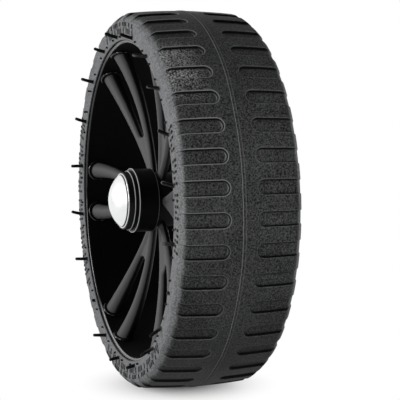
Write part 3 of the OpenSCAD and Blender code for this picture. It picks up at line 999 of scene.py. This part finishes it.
def makeDome():
    # drawn dome with a rolled bead at its edge and a short skirt in the cap
    edge, base, sheet = domeHigh.x / mm, domeSizes["base"], domeSizes["sheet"]
    height = -domeLow.y / mm - base
    ball = (edge ** 2 + height ** 2) / (2 * height)
    centre = base + height - ball
    widest = math.asin((edge - domeSizes["curveEnd"]) / ball)
    steps = 30
    outer = []
    for k in range(steps + 1):
        angle = widest * k / steps
        outer.append((ball * math.sin(angle), centre + ball * math.cos(angle)))
    inner = [(r * (ball - sheet) / ball, centre + (z - centre) * (ball - sheet) / ball)
             for r, z in reversed(outer)]
    beadRadius, beadAt = domeSizes["bead"], base + domeSizes["beadRise"]
    bead = [(edge - 0.9, beadAt + 0.15)]
    for k in range(9):
        angle = math.radians(165 - k * 165 / 8)
        bead.append((edge - beadRadius - 0.01 + beadRadius * math.cos(angle),
                     beadAt + beadRadius * math.sin(angle)))
    foot = base - domeSizes["skirt"]
    skirt = [(edge - 0.01, foot), (edge - sheet, foot), (edge - sheet, base - 0.3)]
    shape = ([], [])
    revolve(shape, outer + bead + skirt + inner, 192)
    mesh = buildMesh("domeMesh", shape)
    grime = []
    for vertex in mesh.vertices:
        radius, z = polar(vertex.co)
        inSeam = edge - 1.0 < radius < edge - domeSizes["grimeTo"] and z > base - 0.2
        grime.append(0.95 if inSeam else 0.0)
    mark(mesh, "grime", grime)
    addPiece("cap_dome_visual", mesh, [chromeSheet], "wheel", "cap_dome")


makeCap()
makeDome()
print("stage: hub cap made")

# CAD pieces that keep their shape
finishes = {
    "outer_ring": groundSteel,
    "inner_ring": groundSteel,
    "balls": polishedSteel,
    "cage": pressedSteel,
    "shield": pressedSteel,
    "circlip": springSteel,
    "spacer": zincSteel,
    "washer": zincSteel,
    "fastener": springSteel,
}
for name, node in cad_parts.items():
    for part, material in finishes.items():
        if part in name:
            node.data.materials.clear()
            node.data.materials.append(material)
print("stage: bearings finished")


# Floor, light and camera: sizes in metres
studioSizes = {
    "floorRadius": 12.0,
    "whiteTo": 0.07,           # from the middle of the floor to where it is white
    "flagRadius": 1.25,
    "flagFrom": 30,            # degrees of azimuth that the black flag covers
    "flagTo": 195,
    "flagTop": 2.6,
    "skyLight": 0.22,          # strength of the white world as a light
}


def seenDirectly(tree):
    # 1 where the camera, a reflection or glass looks at it, and 0 where it only lights something
    path = addNode(tree, "ShaderNodeLightPath")
    either = addNode(tree, "ShaderNodeMath", {"operation": "MAXIMUM"}, {
        0: path.outputs["Is Camera Ray"], 1: path.outputs["Is Glossy Ray"]})
    return addNode(tree, "ShaderNodeMath", {"operation": "MAXIMUM"}, {
        0: either.outputs[0], 1: path.outputs["Is Transmission Ray"]}).outputs[0]


def makeFloor():
    # a pale floor that fades to the white of the backdrop away from the wheel
    steps = 96
    mesh = bpy.data.meshes.new("floorMesh")
    angles = [k * 2 * math.pi / steps for k in range(steps)]
    radius = studioSizes["floorRadius"]
    mesh.from_pydata([(radius * math.cos(a), radius * math.sin(a), 0) for a in angles], [],
                     [tuple(range(steps))])
    floor = addObject("floor", mesh)
    floor.location.z = cadLow.z
    material, shader = newMaterial("paleFloor")
    tree = material.node_tree
    shader.inputs["Roughness"].default_value = 0.9
    # it is pale to look at, and throws less of the light back up under the wheel
    pale = mixColours(tree, seenDirectly(tree), hexColour("#a8a8a7"), hexColour("#f8f8f7"))
    tree.links.new(pale, shader.inputs["Base Color"])
    place = addNode(tree, "ShaderNodeTexCoord").outputs["Object"]
    far = addNode(tree, "ShaderNodeVectorMath", {"operation": "LENGTH"}, {0: place})
    fade = addNode(tree, "ShaderNodeMapRange", {"interpolation_type": "SMOOTHSTEP"}, {
        "Value": far.outputs["Value"], "From Min": 0.0, "From Max": studioSizes["whiteTo"]})
    white = addNode(tree, "ShaderNodeEmission", None, {"Color": (1, 1, 1, 1), "Strength": 1.0})
    seen = addNode(tree, "ShaderNodeMath", {"operation": "MULTIPLY"}, {
        0: fade.outputs["Result"], 1: seenDirectly(tree)})
    both = addNode(tree, "ShaderNodeMixShader", None, {
        0: seen.outputs[0], 1: shader.outputs["BSDF"], 2: white.outputs["Emission"]})
    tree.links.new(both.outputs["Shader"], tree.nodes["Material Output"].inputs["Surface"])
    mesh.materials.append(material)


def makeFlag():
    # a curved black flag that keeps white light off the side of the wheel that faces the camera
    points, faces = [], []
    steps, low, high = 40, cadLow.z + 0.001, studioSizes["flagTop"]
    radius, start, stop = (studioSizes[key] for key in ("flagRadius", "flagFrom", "flagTo"))
    for k in range(steps + 1):
        share = k / steps
        azimuth = math.radians(start * (1 - share) + stop * share)
        x, y = math.sin(azimuth) * radius, -math.cos(azimuth) * radius
        points += [(x, y, low), (x, y, high)]
    points.append((0, 0, high))
    for k in range(steps):
        faces.append((2 * k, 2 * k + 1, 2 * k + 3, 2 * k + 2))
        faces.append((2 * k + 1, 2 * k + 3, len(points) - 1))
    mesh = bpy.data.meshes.new("flagMesh")
    mesh.from_pydata(points, [], faces)
    flag = addObject("flag", mesh)
    material, shader = newMaterial("blackFlagCloth")
    shader.inputs["Base Color"].default_value = hexColour("#1c1c1c")
    shader.inputs["Roughness"].default_value = 1.0
    mesh.materials.append(material)
    flag.visible_camera = False


def makeWorld():
    world = bpy.data.worlds.new("studio")
    bpy.context.scene.world = world
    world.use_nodes = True
    tree = world.node_tree
    background = tree.nodes["Background"]
    background.inputs["Color"].default_value = (1, 1, 1, 1)
    strength = addNode(tree, "ShaderNodeMapRange", None, {
        "Value": seenDirectly(tree), "To Min": studioSizes["skyLight"], "To Max": 1.0})
    tree.links.new(strength.outputs["Result"], background.inputs["Strength"])


# Square lamps: azimuth and elevation in degrees, distance and side in metres, power in watts,
# and whether the wheel mirrors them
lamps = {
    "faceLight": (-18, 14, 1.1, 0.35, 6, True),
    "spokeLight": (32, 10, 1.1, 0.35, 3.6, True),
    "treadLight": (100, 12, 0.42, 0.2, 0.76, False),
    "topLight": (160, 80, 1.0, 0.2, 0.1, True),
    "backLight": (250, 8, 1.1, 0.5, 4, True),
}


def makeLamp(name, azimuth, elevation, distance, side, power, mirrored):
    back = direction(azimuth, elevation)
    data = bpy.data.lights.new(name, "AREA")
    data.shape = "RECTANGLE"
    data.size = data.size_y = side
    data.energy = power
    lamp = addObject(name, data)
    lamp.location = back * distance
    lamp.rotation_mode = "QUATERNION"
    lamp.rotation_quaternion = back.to_track_quat("Z", "Y")
    lamp.visible_glossy = mirrored
    lamp.visible_camera = False


# The camera: degrees, metres, and millimetres of lens
cameraSizes = {
    "azimuth": 71.71,
    "elevation": 5.47,
    "distance": 0.9545,
    "lens": 128.2,
    "shiftX": 0.054,
    "shiftY": -0.0026,
}


def makeCamera():
    back = direction(cameraSizes["azimuth"], cameraSizes["elevation"])
    data = bpy.data.cameras.new("camera")
    data.sensor_width = 36
    data.lens = cameraSizes["lens"]
    data.shift_x, data.shift_y = cameraSizes["shiftX"], cameraSizes["shiftY"]
    data.clip_start, data.clip_end = 0.01, 50
    camera = addObject("camera", data)
    camera.location = back * cameraSizes["distance"]
    camera.rotation_mode = "QUATERNION"
    camera.rotation_quaternion = (-back).to_track_quat("-Z", "Y")
    bpy.context.scene.camera = camera


makeFloor()
makeWorld()
makeFlag()
for name, values in lamps.items():
    makeLamp(name, *values)
makeCamera()
bpy.context.scene.view_settings.view_transform = "Standard"
print("stage: studio made")
